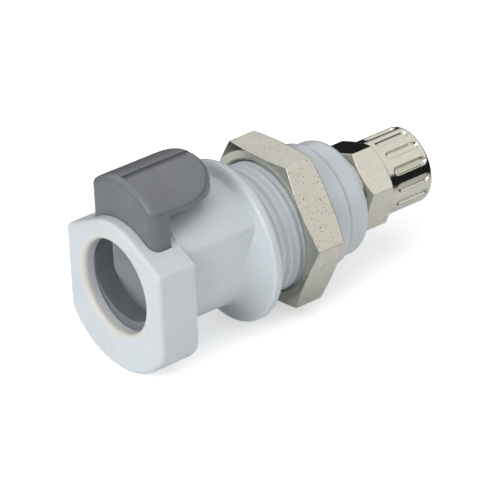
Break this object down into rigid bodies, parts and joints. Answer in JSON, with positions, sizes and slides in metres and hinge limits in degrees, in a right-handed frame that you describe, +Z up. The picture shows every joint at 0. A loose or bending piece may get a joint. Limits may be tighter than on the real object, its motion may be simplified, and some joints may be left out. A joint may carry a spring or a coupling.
{
  "type": "quick disconnect coupling",
  "caption": "Panel-mount plastic quick disconnect coupling body with a grey thumb latch, a hexagonal panel nut and a fluted compression nut for plastic tube.",
  "frame": {"origin": "on the flow axis, in the plane of the flange's rear face, which seats on the panel's front", "axes": "+X along the flow axis towards the tube, +Z up on the thumb latch's side, front opening towards -X"},
  "size_m": [0.0578, 0.0276, 0.0314],
  "materials": {
    "white_acetal": "satin moulded acetal",
    "grey_acetal": "satin moulded acetal",
    "milled_nickel": "nickel plate over turned and milled brass",
    "bright_nickel": "bright nickel plate over brass",
    "spring_steel": "drawn stainless wire",
    "black_rubber": "moulded seal ring"
  },
  "bodies": {
    "coupling_body": {"coupling_body": "white_acetal", "rear_adapter": "white_acetal", "adapter_seal_ring": "black_rubber", "latch_spring": "spring_steel", "valve_spring": "spring_steel"},
    "thumb_latch": {"thumb_latch": "grey_acetal"},
    "valve_poppet": {"valve_poppet": "white_acetal", "poppet_seal_ring": "black_rubber"},
    "panel_nut": {"panel_nut": "milled_nickel"},
    "tube_nut": {"tube_nut": "bright_nickel"}
  },
  "joints": [
    {"name": "latch_press", "type": "slide", "parent": "coupling_body", "child": "thumb_latch", "axis": [0, 0, -1], "range_m": [0, 0.0021], "stiffness_N_per_m": 600, "springref_m": -0.003, "deforming": ["latch_spring"]},
    {"name": "poppet_travel", "type": "slide", "parent": "coupling_body", "child": "valve_poppet", "axis": [1, 0, 0], "range_m": [0, 0.0034], "stiffness_N_per_m": 500, "springref_m": -0.002, "deforming": ["valve_spring"]},
    {"name": "panel_nut_travel", "type": "slide", "parent": "coupling_body", "child": "panel_nut", "axis": [1, 0, 0], "range_m": [-0.0058, 0.0045]},
    {"name": "tube_nut_turn", "type": "hinge", "parent": "coupling_body", "child": "tube_nut", "pos_m": [0.028, 0, 0], "axis": [1, 0, 0], "continuous": true}
  ]
}
